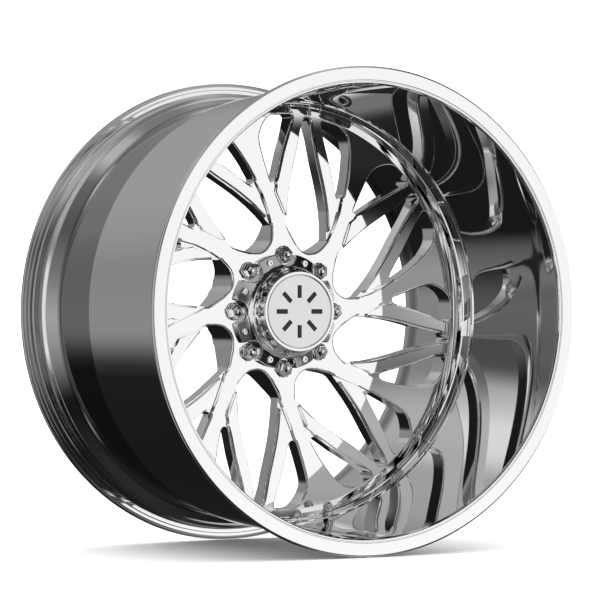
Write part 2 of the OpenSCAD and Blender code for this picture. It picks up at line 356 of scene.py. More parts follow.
def offset_loop(points, distances):
    """The closed loop moved sideways by a distance at each point, to its right if positive."""
    n = len(points)
    out = []
    for i in range(n):
        t = (points[(i + 1) % n] - points[i - 1]).normalized()
        out.append(points[i] + Vector((t.y, -t.x)) * distances[i])
    return out


def inside(poly, pts):
    """For each point, whether it is inside the polygon."""
    x, y = pts[:, 0], pts[:, 1]
    hit = np.zeros(len(pts), bool)
    p = np.array([tuple(v) for v in poly])
    q = np.roll(p, -1, axis=0)
    for (x1, y1), (x2, y2) in zip(p, q):
        if y1 == y2:
            continue
        cond = (y1 > y) != (y2 > y)
        hit ^= cond & (x < (x2 - x1) * (y - y1) / (y2 - y1) + x1)
    return hit


def distance_to_line(pts, line):
    """Distance from each point to an open polyline."""
    best = np.full(len(pts), np.inf)
    for a, b in zip(line[:-1], line[1:]):
        a, b = np.array(a, float), np.array(b, float)
        d = b - a
        u = np.clip(((pts - a) @ d) / (d @ d), 0, 1)
        best = np.minimum(best, np.hypot(*(pts - a - u[:, None] * d).T))
    return best


def distance_to_loop(pts, loop, width):
    """Distance of each point to a closed loop, and the loop's width at the nearest place."""
    p = np.array([tuple(v) for v in loop])
    d = np.roll(p, -1, axis=0) - p
    w = np.array(width)
    rel = pts[:, None, :] - p[None]
    u = np.clip((rel * d).sum(axis=2) / (d * d).sum(axis=1), 0, 1)
    gap = np.hypot(*np.moveaxis(rel - u[..., None] * d[None], 2, 0))
    j = gap.argmin(axis=1)
    k = np.arange(len(pts))
    return gap[k, j], w[j] + (np.roll(w, -1)[j] - w[j]) * u[k, j]


def plate(name, outer, holes, lines, front, back):
    """A plate between two height fields over a flat outline with holes.

    outer and holes are closed loops, lines are creases as (closed, points). front and back
    give each point's y. Points are (x, z).
    """
    verts, edges = [], []
    for closed, points in [(True, outer)] + [(True, loop) for loop in holes] + lines:
        base = len(verts)
        count = len(points)
        spans = count if closed else count - 1
        verts.extend(Vector((p[0], p[1])) for p in points)
        edges.extend((base + k, base + (k + 1) % count) for k in range(spans))
    flat, _, tris, *_ = delaunay_2d_cdt(verts, edges, [], 0, 1e-4)
    xz = np.array([tuple(v) for v in flat])
    tris = np.array(tris)
    middle = xz[tris].mean(axis=1)
    keep = inside(outer, middle)
    for loop in holes:
        keep &= ~inside(loop, middle)
    tris = tris[keep]
    used = {}
    for t in tris:
        for e in ((t[0], t[1]), (t[1], t[2]), (t[2], t[0])):
            key = tuple(sorted(map(int, e)))
            used[key] = used.get(key, 0) + 1
    n = len(xz)
    pts = [(x, y, z) for (x, z), y in zip(xz, front(xz))]
    pts += [(x, y, z) for (x, z), y in zip(xz, back(xz))]
    faces = [tuple(map(int, t)) for t in tris]
    faces += [tuple(int(k) + n for k in reversed(t)) for t in tris]
    # a wall along each edge that only one triangle uses
    faces += [(a, b, b + n, a + n) for (a, b), c in used.items() if c == 1]
    return new_object(name, pts, faces)


# ---------------------------------------------------------------- wheel centre

def sector(points, k):
    """(along, across) points of spoke k as (x, z)."""
    phi = math.radians(spoke_angle(k))
    c, s = math.cos(phi), math.sin(phi)
    return [Vector((t * c + a * s, t * s - a * c)) for t, a in points]


# Window outlines as (along, across) their spoke, each a list of stretches: (edge width, points).
# The width is how far the edge reaches from the wall onto the face. Beside a twig (WIDE) the edge
# is a shelf at the web's level, elsewhere it is a rounding.
TIGHT, FINE, WIDE = 0.5, 2.9, 3.9

MIDDLE_WINDOW = [
    (FINE, spline([(86.8, 45.9), (88, 37.8), (93.1, 29.8), (101.9, 22)])),
    (FINE, [(120.8, 10.4), (128, 6.8)]),
    (WIDE, spline([(147, 8.4), (176.6, 11.5), (203.7, 16.4), (243.3, 26), (267.4, 30.8), (283, 34)])),
    (FINE, spline([(285, 34.6), (288.6, 36.4), (290.4, 40.3), (288.8, 44), (286, 46)])),
    (WIDE, spline([(284, 46.2), (262.5, 49.9), (225.9, 57.6), (194.1, 65.7), (171.9, 70.6),
                   (148.1, 74.5)])),
    (WIDE, [(126, 76.2)]),
    (FINE, [(110, 76.2)]),
    (FINE, spline([(106, 76), (98.7, 69.7), (91.4, 61.6), (87.9, 53.9)])),
]
NEAR_WINDOW = [
    (FINE, spline([(197, -22.5), (220, -30.3), (240, -36.6), (256, -40.2), (265.7, -39.4),
                   (275.1, -36), (284.9, -29.8), (290.5, -24.2), (293.6, -19.5)])),
    (TIGHT, arc_points(294.9, -2.6, 2.2, 8)),
    (FINE, spline([(293.4, 13.6), (290.4, 15.4), (287, 14.6)])),
    (WIDE, spline([(281.6, 12.7), (245, 0.4), (221.2, -5.9), (205.1, -10), (198, -11.8)])),
    (FINE, spline([(194.9, -13.4), (192.8, -17), (194, -20.8)])),
]
FAR_WINDOW = [
    (TIGHT, arc_points(294, 13.9, 18.9, 8)),
    (FINE, spline([(276.4, 97.6), (268.8, 106.4), (262.5, 110.3), (254.5, 112.7), (243, 113.9),
                   (232, 114.1), (204, 111), (188, 107.8), (174, 104.5)])),
    (FINE, spline([(170.9, 101), (169.8, 97.4), (171.6, 94.2)])),
    (WIDE, spline([(176.6, 92.4), (195.7, 88.2), (213.2, 84.4), (230.7, 79.5), (267.4, 69.3)])),
    (FINE, spline([(279, 66), (283.2, 66.3), (285.4, 69.6)])),
]
# No window's wall is further than this from the middle of its points
WINDOW_REACH = 135
# Webs set below the face: the main spoke's edge and the twig's edge
WEBS = [
    ([(199, -24), (171.9, -14), (143.2, -1), (122, 9.7)],
     [(143.8, 9.2), (145, 6), (147, 3.7), (178.2, -11.2), (187.6, -9.8), (199.5, -12.5)]),
    ([(176, 103.5), (168, 103.3), (148, 98.6), (124, 88.6), (110, 80.5), (105, 75)],
     [(119.5, 75), (120.5, 79), (122.2, 80.9), (129.5, 83.3), (149.5, 91.2), (151.2, 94.3),
      (162.4, 92.1), (175.5, 93.5)]),
]
# Width of the web's two walls, at the main spoke and at the twig
WEB_WALLS = (1.1, 1.2)
# An edge's section at shares of its width from the wall: the depth of a rounding as a share of the
# width, and the depth of a shelf
EDGE_SHARES = [0.0, 0.12, 0.45, 0.7, 1.0]
PAST_EDGE = 1.22
ROUNDING = [0.95, 0.50, 0.16, 0.045, 0.0]
SHELF = [WEB_DEPTH + 0.4, WEB_DEPTH, WEB_DEPTH, WEB_DEPTH, 0.0]
# Back of the centre, as a profile
BACK = [(0, PAD_Y), (98, PAD_Y), (100, PAD_Y - 4.5), (133, FACE_Y + 28), (262, FACE_Y + 28),
        (290, FACE_Y + CENTRE_RING_T), (320, FACE_Y + CENTRE_RING_T)]
# The stud hole and the seat round it, as a profile about the lug's own axis
LUG_HOLE_R = 8.0
LUG_SEAT = [(12.9, FACE_Y + 13.66), (13, FACE_Y + LUG_SEAT_DEPTH), (13.15, FACE_Y + 0.3),
            (13.45, FACE_Y)]
# How far the bore's edge reaches, which is its depth at the front too, and its depth at the back
BORE_EDGE = 1.2
BORE_EDGE_BACK = 1.5


def window_loop(stretches):
    """A window's wall as points, and the edge's width at each of them."""
    wall, width = [], []
    for w, pts in stretches:
        for p in pts:
            if wall and (Vector(p) - wall[-1]).length < 0.05:
                continue
            wall.append(Vector(p))
            width.append(w)
    if (wall[0] - wall[-1]).length < 0.05:
        wall.pop()
        width.pop()
    n = len(wall)
    # the edge swells and fades over a few points
    for _ in range(3):
        width = [(width[i - 1] + 2 * width[i] + width[(i + 1) % n]) / 4 for i in range(n)]
    return wall, width


def edge_loops(wall, width):
    """Loops round a window at each step of its edge's section, and one just past it."""
    sign = 1 if turning(wall) > 0 else -1
    return [offset_loop(wall, [sign * share * w for w in width])
            for share in EDGE_SHARES[1:] + [PAST_EDGE]]


def centre_outline():
    """The centre from the front: holes, crease lines, windows as (wall, width), and webs."""
    holes = [circle(0, 0, BORE_R, 128)]
    lines = [(True, circle(0, 0, BORE_R + BORE_EDGE, 128))]
    windows, webs = [], []
    for k in range(SPOKES):
        for shape in (MIDDLE_WINDOW, NEAR_WINDOW, FAR_WINDOW):
            wall, width = window_loop(shape)
            holes.append(sector(wall, k))
            lines += [(True, sector(loop, k)) for loop in edge_loops(wall, width)]
            windows.append((holes[-1], width))
        for main, twig in WEBS:
            inward = 1 if turning(main + twig) < 0 else -1
            for line, wide in zip((main, twig), WEB_WALLS):
                lines.append((False, sector(line, k)))
                lines.append((False, sector(offset_line(line, wide * inward), k)))
            webs.append((sector(main, k), sector(twig, k)))
        lug = polar(LUG_R, spoke_angle(k))
        holes.append(circle(*lug, LUG_HOLE_R, 40))
        lines += [(True, circle(*lug, r, 48)) for r, _ in LUG_SEAT]
    lines += [(True, circle(0, 0, r, 160)) for r, _ in BACK[1:-1]]
    return holes, lines, windows, webs


def edge_depth(xz, windows):
    """How far the edge of the nearest window lies below the face at each point."""
    depth = np.zeros(len(xz))
    for wall, width in windows:
        middle = np.array([tuple(p) for p in wall]).mean(axis=0)
        near = np.where(np.hypot(*(xz - middle).T) < WINDOW_REACH)[0]
        gap, wide = distance_to_loop(xz[near], wall, width)
        rounded = np.interp(gap / wide, EDGE_SHARES, ROUNDING) * wide
        shelf = np.interp(gap / wide, EDGE_SHARES, SHELF)
        mix = np.clip((wide - FINE) / (WIDE - FINE), 0, 1)
        depth[near] = np.maximum(depth[near], rounded + (shelf - rounded) * mix)
    return depth


def web_depth(xz, webs):
    """How far a web lies below the face at each point, with its two sloping walls."""
    depth = np.zeros(len(xz))
    for main, twig in webs:
        area = inside(main + twig, xz)
        if not area.any():
            continue
        share = np.minimum(distance_to_line(xz[area], main) / WEB_WALLS[0],
                           distance_to_line(xz[area], twig) / WEB_WALLS[1])
        depth[area] = np.maximum(depth[area], WEB_DEPTH * np.clip(share, 0, 1))
    return depth


def wheel_centre():
    """One forging: hub, main spokes, twigs, webs and outer ring."""
    holes, lines, windows, webs = centre_outline()
    lugs = [polar(LUG_R, spoke_angle(k)) for k in range(SPOKES)]
    bore_edge_r = BORE_R + BORE_EDGE / 2
    seat_r, seat_y = zip(*LUG_SEAT)

    def front(xz):
        y = FACE_Y + np.maximum(edge_depth(xz, windows), web_depth(xz, webs))
        y = np.where(np.hypot(*xz.T) < bore_edge_r, np.maximum(y, FACE_Y + BORE_EDGE), y)
        to_lug = np.min([np.hypot(xz[:, 0] - x, xz[:, 1] - z) for x, z in lugs], axis=0)
        return np.where(to_lug < seat_r[-1] - 0.05, np.interp(to_lug, seat_r, seat_y), y)

    def rear(xz):
        r = np.hypot(*xz.T)
        y = np.interp(r, *zip(*BACK)) - np.minimum(edge_depth(xz, windows) * 0.5, 1.2)
        return np.where(r < bore_edge_r, PAD_Y - BORE_EDGE_BACK, y)

    obj = plate("wheel_centre_forging", circle(0, 0, CENTRE_R, 288), holes, lines, front, rear)
    stand_in(obj, "wheel_centre", 50)


# ---------------------------------------------------------------- rim halves

def bead_side(side):
    """Hump, bead seat and flange of the outer (-1) or inner (1) half, as fillet points."""
    return [
        (BEAD_R - 1.0, side * 177.6, 0.8), (BEAD_R - 2.2, side * 182.6, 0.8),
        (BEAD_R, side * 201.6, 0.8), (BEAD_R + 1.2, side * 204.0, 1.2),
        (FLANGE_R - 10.6, side * 204.2, 0.6), (FLANGE_R - 9.8, side * 205.4, 0.6),
        (FLANGE_R - 5.4, side * 205.6, 0.6), (FLANGE_R - 4.6, side * 206.8, 0.6),
        (FLANGE_R, side * 207.4, 2.6), (FLANGE_R, side * HALF_W, 4.2),
    ]


def flange_groove():
    """Inner edge of the flange's flat band, and the groove and bead beside it, as fillet points."""
    band = FLANGE_R - 20
    return [
        (band, -HALF_W, 0.3), (band - 0.3, -HALF_W + 2.0, 0.2), (band - 1.7, -HALF_W + 2.0, 0.2),
        (band - 2.0, -HALF_W + 0.3, 0.4), (band - 4.4, -HALF_W + 0.3, 0.5),
        (band - 4.9, -HALF_W + 2.2, 0.5), (band - 6.4, -HALF_W + 4.4, 0.8),
    ]


def step_ring():
    """The grooved ring that steps from the dish wall down to the spoke face, as fillet points."""
    return [
        (RING_OUT_R + 0.9, -3, 0.8), (RING_OUT_R - 0.6, -0.6, 0.6), (RING_OUT_R - 0.4, 3, 0.3),
        (RING_OUT_R + 0.3, 3.8, 0.3), (RING_OUT_R - 0.7, 4.8, 0.3), (RING_OUT_R - 1.6, 8.4, 0.3),
        (RING_OUT_R - 0.8, 9.3, 0.3), (RING_OUT_R - 2.2, 10.3, 0.3), (RING_OUT_R - 4, 17.4, 0.5),
        (RING_OUT_R - 5.4, 19, 0.4), (RING_OUT_R - 5.8, 20.5, 0.4), (RING_OUT_R - 8.8, 27.2, 20),
        (RING_IN_R + 2.6, 33, 16), (RING_IN_R + 0.3, FACE_Y - 0.6, 0.3), (RING_IN_R, FACE_Y, 0),
    ]


def valve_drill():
    """The valve hole, with its flat seat in the dish and its pocket on the tyre side."""
    seat_r, hole_r, pocket_r, reach = 9.4, 4.15, 9, 30
    drill = rings([(pocket_r, -VALVE_WALL - reach), (pocket_r, -VALVE_WALL), (hole_r, -VALVE_WALL),
                   (hole_r, 0), (seat_r, 0), (seat_r, reach)], 48)
    return placed([(on_valve(), drill)])


def outer_lip():
    profile = [(WELL_R, FACE_Y, 0.6)] + bead_side(-1) + flange_groove() + step_ring()
    obj = lathe("outer_lip_turned", profile, 320)
    drilled(obj, valve_drill())
    stand_in(obj, "outer_lip", 35)


def inner_barrel():
    drum = [
        (CENTRE_R, FACE_Y, 0), (BARREL_FRONT_R, FACE_Y, 0.5), (BARREL_FRONT_R, 42, 0.8),
        (BARREL_R, 45.5, 1.5), (BARREL_R, 147.6, 3), (326, 174.6, 2),
    ]
    back = [
        (BEAD_R - 7.6, HALF_W, 1.5), (BEAD_R - 12, HALF_W - 4, 3), (BARREL_WALL_R, 152, 20),
        (BARREL_WALL_R, FACE_Y + CENTRE_RING_T + 6, 3), (CENTRE_R, FACE_Y + CENTRE_RING_T, 0),
    ]
    stand_in(lathe("inner_barrel_turned", drum + bead_side(1) + back, 320), "inner_barrel", 35)


# ---------------------------------------------------------------- hub

def lug_nuts():
    """Eight hex nuts whose six flats run on up into a faceted dome."""
    hex_r, cone_r, shank_r, hole_r = 12.6, 13, 8.6, 6.4
    dome_h, dome_steps, dome_end = 9.5, 9, 88.5
    seat = FACE_Y + LUG_SEAT_DEPTH
    outline = hexagon(hex_r)

    def level(share, z):
        return (lambda a: outline(a) * share, z)

    levels = [(hole_r, seat + 7.6), (shank_r, seat + 7.6), (cone_r, seat), (cone_r, FACE_Y + 0.2),
              (cone_r - 0.2, FACE_Y - 0.4), level(1.0, FACE_Y - 1.0)]
    for i in range(dome_steps + 1):
        u = math.radians(dome_end * i / dome_steps)
        levels.append(level(math.cos(u) ** 0.9, NUT_TOP + dome_h * (1 - math.sin(u))))
    nut = rings(levels)
    shapes = [(on_face(LUG_R, spoke_angle(k), -15), nut) for k in range(SPOKES)]
    piece("lug_nuts_acorn", "lug_nuts", placed(shapes), 22)


# The foot of the cap's tower, sweeping out into the base, as a profile
TRUMPET = [(60.0, 8.0), (61.0, 12.5), (62.5, 16.3), (64.5, 19.5), (67.0, 22.0), (70.0, 23.7)]
FOOT_Y = TRUMPET[3][1]


def base_outline():
    """The cap base's outline: a lobe towards each cap screw, a scallop round each nut."""
    scallop_r, scallop_sweep = 17.0, 82
    lobe_end = 12.53
    out = []
    for k in range(SPOKES):
        phi = spoke_angle(k)
        # along the lobe towards this nut, then round its scallop
        for a in np.linspace(STEP - lobe_end, lobe_end, 12):
            out.append(Vector(polar(LOBE_R, phi + a)))
        for a in np.linspace(-scallop_sweep, scallop_sweep, 22):
            out.append(Vector(polar(LUG_R, phi)) + Vector(polar(scallop_r, phi + 180 + a)))
    return out


def cap_screw_angle(k):
    return spoke_angle(k) - STEP / 2


def cap_base():
    outline = base_outline()
    screws = [polar(CAP_SCREW_R, cap_screw_angle(k)) for k in range(SPOKES)]
    slope = [(57, FOOT_Y)] + TRUMPET[3:] + [(LOBE_R - 0.9, 29.2), (LOBE_R, 30.2)]
    hole_r, head_r, edge = 57.5, 5.2, 1.4
    n = len(outline)
    lines = [(True, circle(0, 0, r, 128)) for r, _ in slope[1:-1]]
    lines += [(True, offset_loop(outline, [edge * share] * n)) for share in EDGE_SHARES[1:] + [1.3]]
    lines += [(True, circle(x, z, r, 40)) for x, z in screws for r in (head_r, head_r + 0.3)]

    def front(xz):
        gap, _ = distance_to_loop(xz, outline, [edge] * n)
        rounded = edge * np.interp(gap / edge, EDGE_SHARES, ROUNDING)
        y = np.interp(np.hypot(*xz.T), *zip(*slope)) + rounded
        to_screw = np.min([np.hypot(xz[:, 0] - x, xz[:, 1] - z) for x, z in screws], axis=0)
        return np.where(to_screw < head_r + 0.15, np.maximum(y, CAP_SCREW_SEAT), y)

    def rear(xz):
        return np.full(len(xz), FACE_Y)

    obj = plate("cap_base_lobed", outline, [circle(0, 0, hole_r, 96)], lines, front, rear)
    stand_in(obj, "cap_base", 40)


def cap_tower():
    foot_in_r, bore_r = 57.6, 54
    shelf_r, shelf_y = DISC_R - 4, CAP_FRONT + 7.4
    disc_back = CAP_FRONT + 4.4
    outside = [(CAP_R, CAP_FRONT + 1.4, 0.7), (CAP_R, 2, 6)] + [(r, y, 0) for r, y in TRUMPET[:4]]
    within = [
        (foot_in_r, FOOT_Y, 0), (foot_in_r, 30, 0.5), (bore_r, 30, 0.5), (bore_r, shelf_y, 0.5),
        (shelf_r, shelf_y, 0), (shelf_r, disc_back, 0), (DISC_R, disc_back, 0),
        (DISC_R, CAP_FRONT + 1.4, 0),
    ]
    stand_in(lathe("cap_tower_turned", outside + within, 192), "cap_tower", 35)


def cap_disc():
    """The disc, with a fine groove cut back from its edge."""
    front, back, middle, groove_r = CAP_FRONT + 0.6, CAP_FRONT + 4.4, 0.5, DISC_R - 1.2
    profile = [(middle, front, 0), (groove_r, front, 0.4), (groove_r, front + 2.6, 0.1),
               (DISC_R, front + 2.7, 0.1), (DISC_R, back, 0.2), (middle, back, 0)]
    stand_in(lathe("cap_disc_satin", profile, 160), "cap_face_disc", 35)


def cap_ring():
    """The bright ring round the disc."""
    inner, outer, back = DISC_R + 0.3, CAP_R - 0.5, CAP_FRONT + 1.4
    profile = [(inner, back, 0), (inner, CAP_FRONT, 0.7), (outer, CAP_FRONT, 0.9), (outer, back, 0)]
    stand_in(lathe("cap_ring_bright", profile, 192), "cap_trim_ring", 40)


def emblem():
    """Eight plain bars with rounded corners, one for each spoke."""
    inner, outer, half, corner = 20.0, 39.0, 3.5, 1.0
    levels = [(1.0, CAP_FRONT + 1.4), (1.0, CAP_FRONT + 0.55), (0.985, CAP_FRONT + 0.4)]
    outline = []
    for cx, cy, start in ((outer - corner, half - corner, 0), (inner + corner, half - corner, 90),
                          (inner + corner, corner - half, 180), (outer - corner, corner - half, 270)):
        for k in range(5):
            x, y = polar(corner, start + 90 * k / 4)
            outline.append((cx + x, cy + y))
    middle = (inner + outer) / 2
    n = len(outline)
    verts = [(middle + (x - middle) * s, y * s, z) for s, z in levels for x, y in outline]
    faces = [(i * n + k, i * n + (k + 1) % n, (i + 1) * n + (k + 1) % n, (i + 1) * n + k)
             for i in range(len(levels) - 1) for k in range(n)]
    faces += [tuple(range(n)), tuple(range((len(levels) - 1) * n, len(levels) * n))]
    shapes = [(on_face(0, STEP * k), (verts, faces)) for k in range(SPOKES)]
    piece("emblem_bars", "cap_emblem_inlay", placed(shapes))


def cap_screws():
    """Eight socket screws with low heads whose rims are rounded."""
    z = CAP_SCREW_SEAT
    head_r, head_h, thread_r, length = 4.8, 2.8, 2.5, 22
    socket = hexagon(2.35)
    levels = [(socket, z - 0.9), (socket, z - head_h + 0.05), (2.7, z - head_h), (4.1, z - head_h),
              (4.5, z - 2.65), (4.75, z - 2.2), (head_r, z - 0.4), (head_r, z), (thread_r, z),
              (thread_r, z + length)]
    screw = rings(levels, 48)
    shapes = [(on_face(CAP_SCREW_R, cap_screw_angle(k)), screw) for k in range(SPOKES)]
    piece("cap_screws_socket", "cap_screws", placed(shapes))


# ---------------------------------------------------------------- valve

# Heights in this section run along the valve's axis, out from its flat seat in the dish.

def valve_stem():
    stem_r, thread_r, bore_r, core_r, base_r = 3.95, 3.6, 2.6, 1.9, 7.6
    base_top, base_low, top = -VALVE_WALL - 2.5, -VALVE_WALL - 4.5, 13
    stem = rings([(core_r, base_low), (base_r - 0.2, base_low), (base_r, base_low + 0.2),
                  (base_r, base_top), (stem_r, base_top), (stem_r, 6.2), (thread_r, 6.8),
                  (thread_r, top - 0.5), (thread_r - 0.5, top), (bore_r, top), (bore_r, -6),
                  (core_r, -6)], 48, True)
    piece("valve_stem_turned", "valve_stem", placed([(on_valve(), stem)]))


def valve_nut():
    hex_r, hole_r, low, high = 8.6, 4.0, 1.0, 5.4
    flats = hexagon(hex_r, hex_r * 0.99)
    nut = rings([(hole_r, low), (hexagon(hex_r, 8.1), low), (flats, low + 0.6), (flats, high - 1.0),
                 (hexagon(hex_r, 7.9), high - 0.2), (7.2, high), (hole_r, high)], 72, True)
    piece("valve_nut_hex", "valve_nut", placed([(on_valve(), nut)]), 25)


def valve_washer():
    outer_r, hole_r, high = 9, 4.2, 1.0
    washer = rings([(hole_r, 0.0), (outer_r - 0.2, 0.0), (outer_r, 0.2), (outer_r, high - 0.2),
                    (outer_r - 0.2, high), (hole_r, high)], 64, True)
    piece("valve_washer_flat", "valve_washer", placed([(on_valve(), washer)]))


def valve_cap():
    grip_r, ridge_h, ridges = 6.4, 0.45, 16

    def knurl(a):
        return grip_r + ridge_h * max(0.0, math.cos(ridges * a))

    inside_and_mouth = [(3.9, 14.9), (3.9, 6.8), (4.25, 6.6), (4.25, 5.8), (6.0, 5.8)]
    grip = [(grip_r, 6.2), (grip_r, 7.0), (knurl, 7.5), (knurl, 14.0), (grip_r, 14.5), (grip_r, 15)]
    dome = [(6.1, 15.9), (5.5, 16.7), (4.6, 17.2), (3.4, 17.4)]
    cap = rings(inside_and_mouth + grip + dome, 192)
    piece("valve_cap_knurled", "valve_cap", placed([(on_valve(), cap)]), 32, "valve_cap")


# ---------------------------------------------------------------- materials

# Noise scales: turning marks by radius and y, polishing marks, and the mottle of rubber
TURNED_MARKS, POLISHED_MARKS, MOTTLE = 900.0, 140.0, 260.0
MARK_DETAIL = 3.0


def grey(tone):
    return (tone, tone, tone)


def material(name, base, metallic, roughness):
    mat = bpy.data.materials.new(name)
    mat.use_nodes = True
    shader = mat.node_tree.nodes["Principled BSDF"]
    shader.inputs["Base Color"].default_value = (*base, 1)
    shader.inputs["Metallic"].default_value = metallic
    shader.inputs["Roughness"].default_value = roughness
    return mat, mat.node_tree, shader


def marks(tree, vector, scale):
    """A noise value that makes fine marks."""
    node = tree.nodes.new("ShaderNodeTexNoise")
    node.inputs["Scale"].default_value = scale
    node.inputs["Detail"].default_value = MARK_DETAIL
    tree.links.new(vector, node.inputs["Vector"])
    return node.outputs["Fac"]


def spread(tree, value, low, high):
    """Maps the middle of a noise's values to a range."""
    node = tree.nodes.new("ShaderNodeMapRange")
    node.inputs["From Min"].default_value = 0.3
    node.inputs["From Max"].default_value = 0.7
    node.inputs["To Min"].default_value = low
    node.inputs["To Max"].default_value = high
    tree.links.new(value, node.inputs["Value"])
    return node.outputs["Result"]


def object_coords(tree):
    return tree.nodes.new("ShaderNodeTexCoord").outputs["Object"]


def turned_coords(tree):
    """Radius and y of a point, so that a noise of them makes turning marks round the axis."""
    split = tree.nodes.new("ShaderNodeSeparateXYZ")
    tree.links.new(object_coords(tree), split.inputs[0])
    flat = tree.nodes.new("ShaderNodeCombineXYZ")
    tree.links.new(split.outputs["X"], flat.inputs["X"])
    tree.links.new(split.outputs["Z"], flat.inputs["Y"])
    length = tree.nodes.new("ShaderNodeVectorMath")
    length.operation = "LENGTH"
    tree.links.new(flat.outputs[0], length.inputs[0])
    out = tree.nodes.new("ShaderNodeCombineXYZ")
    tree.links.new(length.outputs["Value"], out.inputs["X"])
    tree.links.new(split.outputs["Y"], out.inputs["Y"])
    return out.outputs[0]


def set_ramp(ramp, stops):
    """Gives a colour ramp its (place, tone) stops."""
    while len(ramp.elements) < len(stops):
        ramp.elements.new(0.5)
    for element, (place, tone) in zip(ramp.elements, stops):
        element.position = place
        element.color = (*grey(tone), 1)


def polished(name, base, low, high, turned=False):
    """Polished metal, with fine marks in its roughness."""
    mat, tree, shader = material(name, base, 1.0, low)
    coords = turned_coords(tree) if turned else object_coords(tree)
    fine = marks(tree, coords, TURNED_MARKS if turned else POLISHED_MARKS)
    tree.links.new(spread(tree, fine, low, high), shader.inputs["Roughness"])
    return mat


def barrel_metal():
    """The barrel's polished metal, with a darker base colour on the outside of its well."""
    bright, dark = 0.88, 0.38
    mat = polished("polished_barrel", grey(bright), 0.025, 0.045, turned=True)
    tree = mat.node_tree
    point = tree.nodes.new("ShaderNodeSeparateXYZ")
    tree.links.new(turned_coords(tree), point.inputs[0])
    share = tree.nodes.new("ShaderNodeMath")
    share.operation = "DIVIDE"
    share.inputs[1].default_value = FLANGE_R * MM
    tree.links.new(point.outputs["X"], share.inputs[0])
    ramp = tree.nodes.new("ShaderNodeValToRGB")
    # the radii between which the well's outside lies, as shares of the flange's
    set_ramp(ramp.color_ramp, [
        (312.5 / FLANGE_R, bright), (313.5 / FLANGE_R, dark),
        ((BARREL_R + 0.5) / FLANGE_R, dark), ((BARREL_R + 1.8) / FLANGE_R, bright),
    ])
    tree.links.new(share.outputs[0], ramp.inputs[0])
    tree.links.new(ramp.outputs["Color"], tree.nodes["Principled BSDF"].inputs["Base Color"])
    return mat


def painted(name, base, low, high):
    """A dark coating or rubber: a fine mottle in its roughness and surface."""
    mat, tree, shader = material(name, base, 0.0, low)
    mottle = marks(tree, object_coords(tree), MOTTLE)
    tree.links.new(spread(tree, mottle, low, high), shader.inputs["Roughness"])
    bump = tree.nodes.new("ShaderNodeBump")
    bump.inputs["Strength"].default_value = 0.15
    bump.inputs["Distance"].default_value = 0.0002
    tree.links.new(mottle, bump.inputs["Height"])
    tree.links.new(bump.outputs["Normal"], shader.inputs["Normal"])
    return mat


def all_looks():
    """Every material, by the slot it is for."""
    return {
        "polished_face": polished("polished_face", grey(0.95), 0.02, 0.04),
        "polished_lip": polished("polished_lip", grey(0.95), 0.018, 0.03, turned=True),
        "polished_barrel": barrel_metal(),
        "chrome_nut": polished("chrome_nut", grey(0.92), 0.012, 0.03),
        "chrome_cap": polished("chrome_cap", grey(0.86), 0.012, 0.025, turned=True),
        "cap_disc": polished("cap_disc", grey(0.86), 0.22, 0.25),
        "cap_ring": polished("cap_ring", grey(0.95), 0.05, 0.08, turned=True),
        "black_inlay": painted("black_inlay", grey(0.018), 0.45, 0.6),
        "screw_steel": polished("screw_steel", grey(0.88), 0.08, 0.14),
        "rubber_seal": painted("rubber_seal", grey(0.015), 0.6, 0.8),
        "sealant": painted("sealant", grey(0.03), 0.5, 0.7),
        "valve_chrome": polished("valve_chrome", grey(0.88), 0.03, 0.07),
        "washer_steel": polished("washer_steel", grey(0.62), 0.15, 0.25),
        "core_brass": polished("core_brass", (0.72, 0.55, 0.24), 0.12, 0.22),
    }


def dress_all():
    """Gives every piece and CAD node the material of its slot."""
    looks = all_looks()
    for obj in bpy.context.scene.objects:
        if obj.type == "MESH":
            obj.data.materials.clear()
            obj.data.materials.append(looks[slot_of[obj.name]])


# ---------------------------------------------------------------- studio

# (elevation, brightness) of the dim room that the metal mirrors
ROOM_GRADIENT = [(-90, 0.03), (-55, 0.032), (-38, 0.012), (-25, 0.012), (-14, 0.016), (-6, 0.09),
                 (-2, 0.11), (10, 0.085), (28, 0.10), (45, 0.17), (65, 0.33), (90, 0.33)]
# Azimuth and elevation, half width and half height, the softness of each, and brightness.
# Azimuth is 0 in front of the wheel, 90 to its right and 180 behind it.
SOFTBOXES = [
    (72, 0, 52, 15, 8, 5, 1.1),
    (181, 19, 34, 27, 2, 4, 0.21),
    (178, 32, 24, 18, 6, 9, 0.10),
    (208, 28, 8, 8, 5, 5, 0.22),
    (203, 44, 14, 13, 9, 9, 0.50),
    (245, -8, 9, 14, 9, 11, 0.20),
    (-67, 5, 8, 55, 3, 8, 0.95),
    (-100, 5, 17, 50, 6, 8, 0.26),
    (90, -62, 38, 13, 8, 6, 0.60),
    (90, 64, 60, 12, 8, 6, 0.45),
    (290, -9, 14, 7, 9, 6, 0.06),
    (-42, 1, 16, 17, 6, 4, 0.055),
    (-37, -14.5, 13, 6.5, 5, 3, 0.11),
    (-29.8, 0, 3.8, 14, 1.5, 4, 0.85),
    (-20, -3.5, 7, 15, 4, 4, 0.29),
    (2, 31, 34, 15, 6, 6, 0.40),
    (-4, 21, 10, 5, 6, 4, 0.10),
    (12, -25, 14, 9, 6, 6, 0.015),
    (-8, -14, 8, 6.5, 4, 3, 0.10),
    (30, -18, 9, 12, 4, 5, 0.20),
    (-24, 35, 8, 8, 6, 6, 0.06),
    (134, -15, 13, 10, 6, 6, 0.14),
]
# Brightness of the even white room that the camera and the floor see
WHITE_ROOM = 2.4
# Half the floor's side in metres, and its gap under the wheel in millimetres
FLOOR_HALF = 40.0
FLOOR_GAP = 0.5

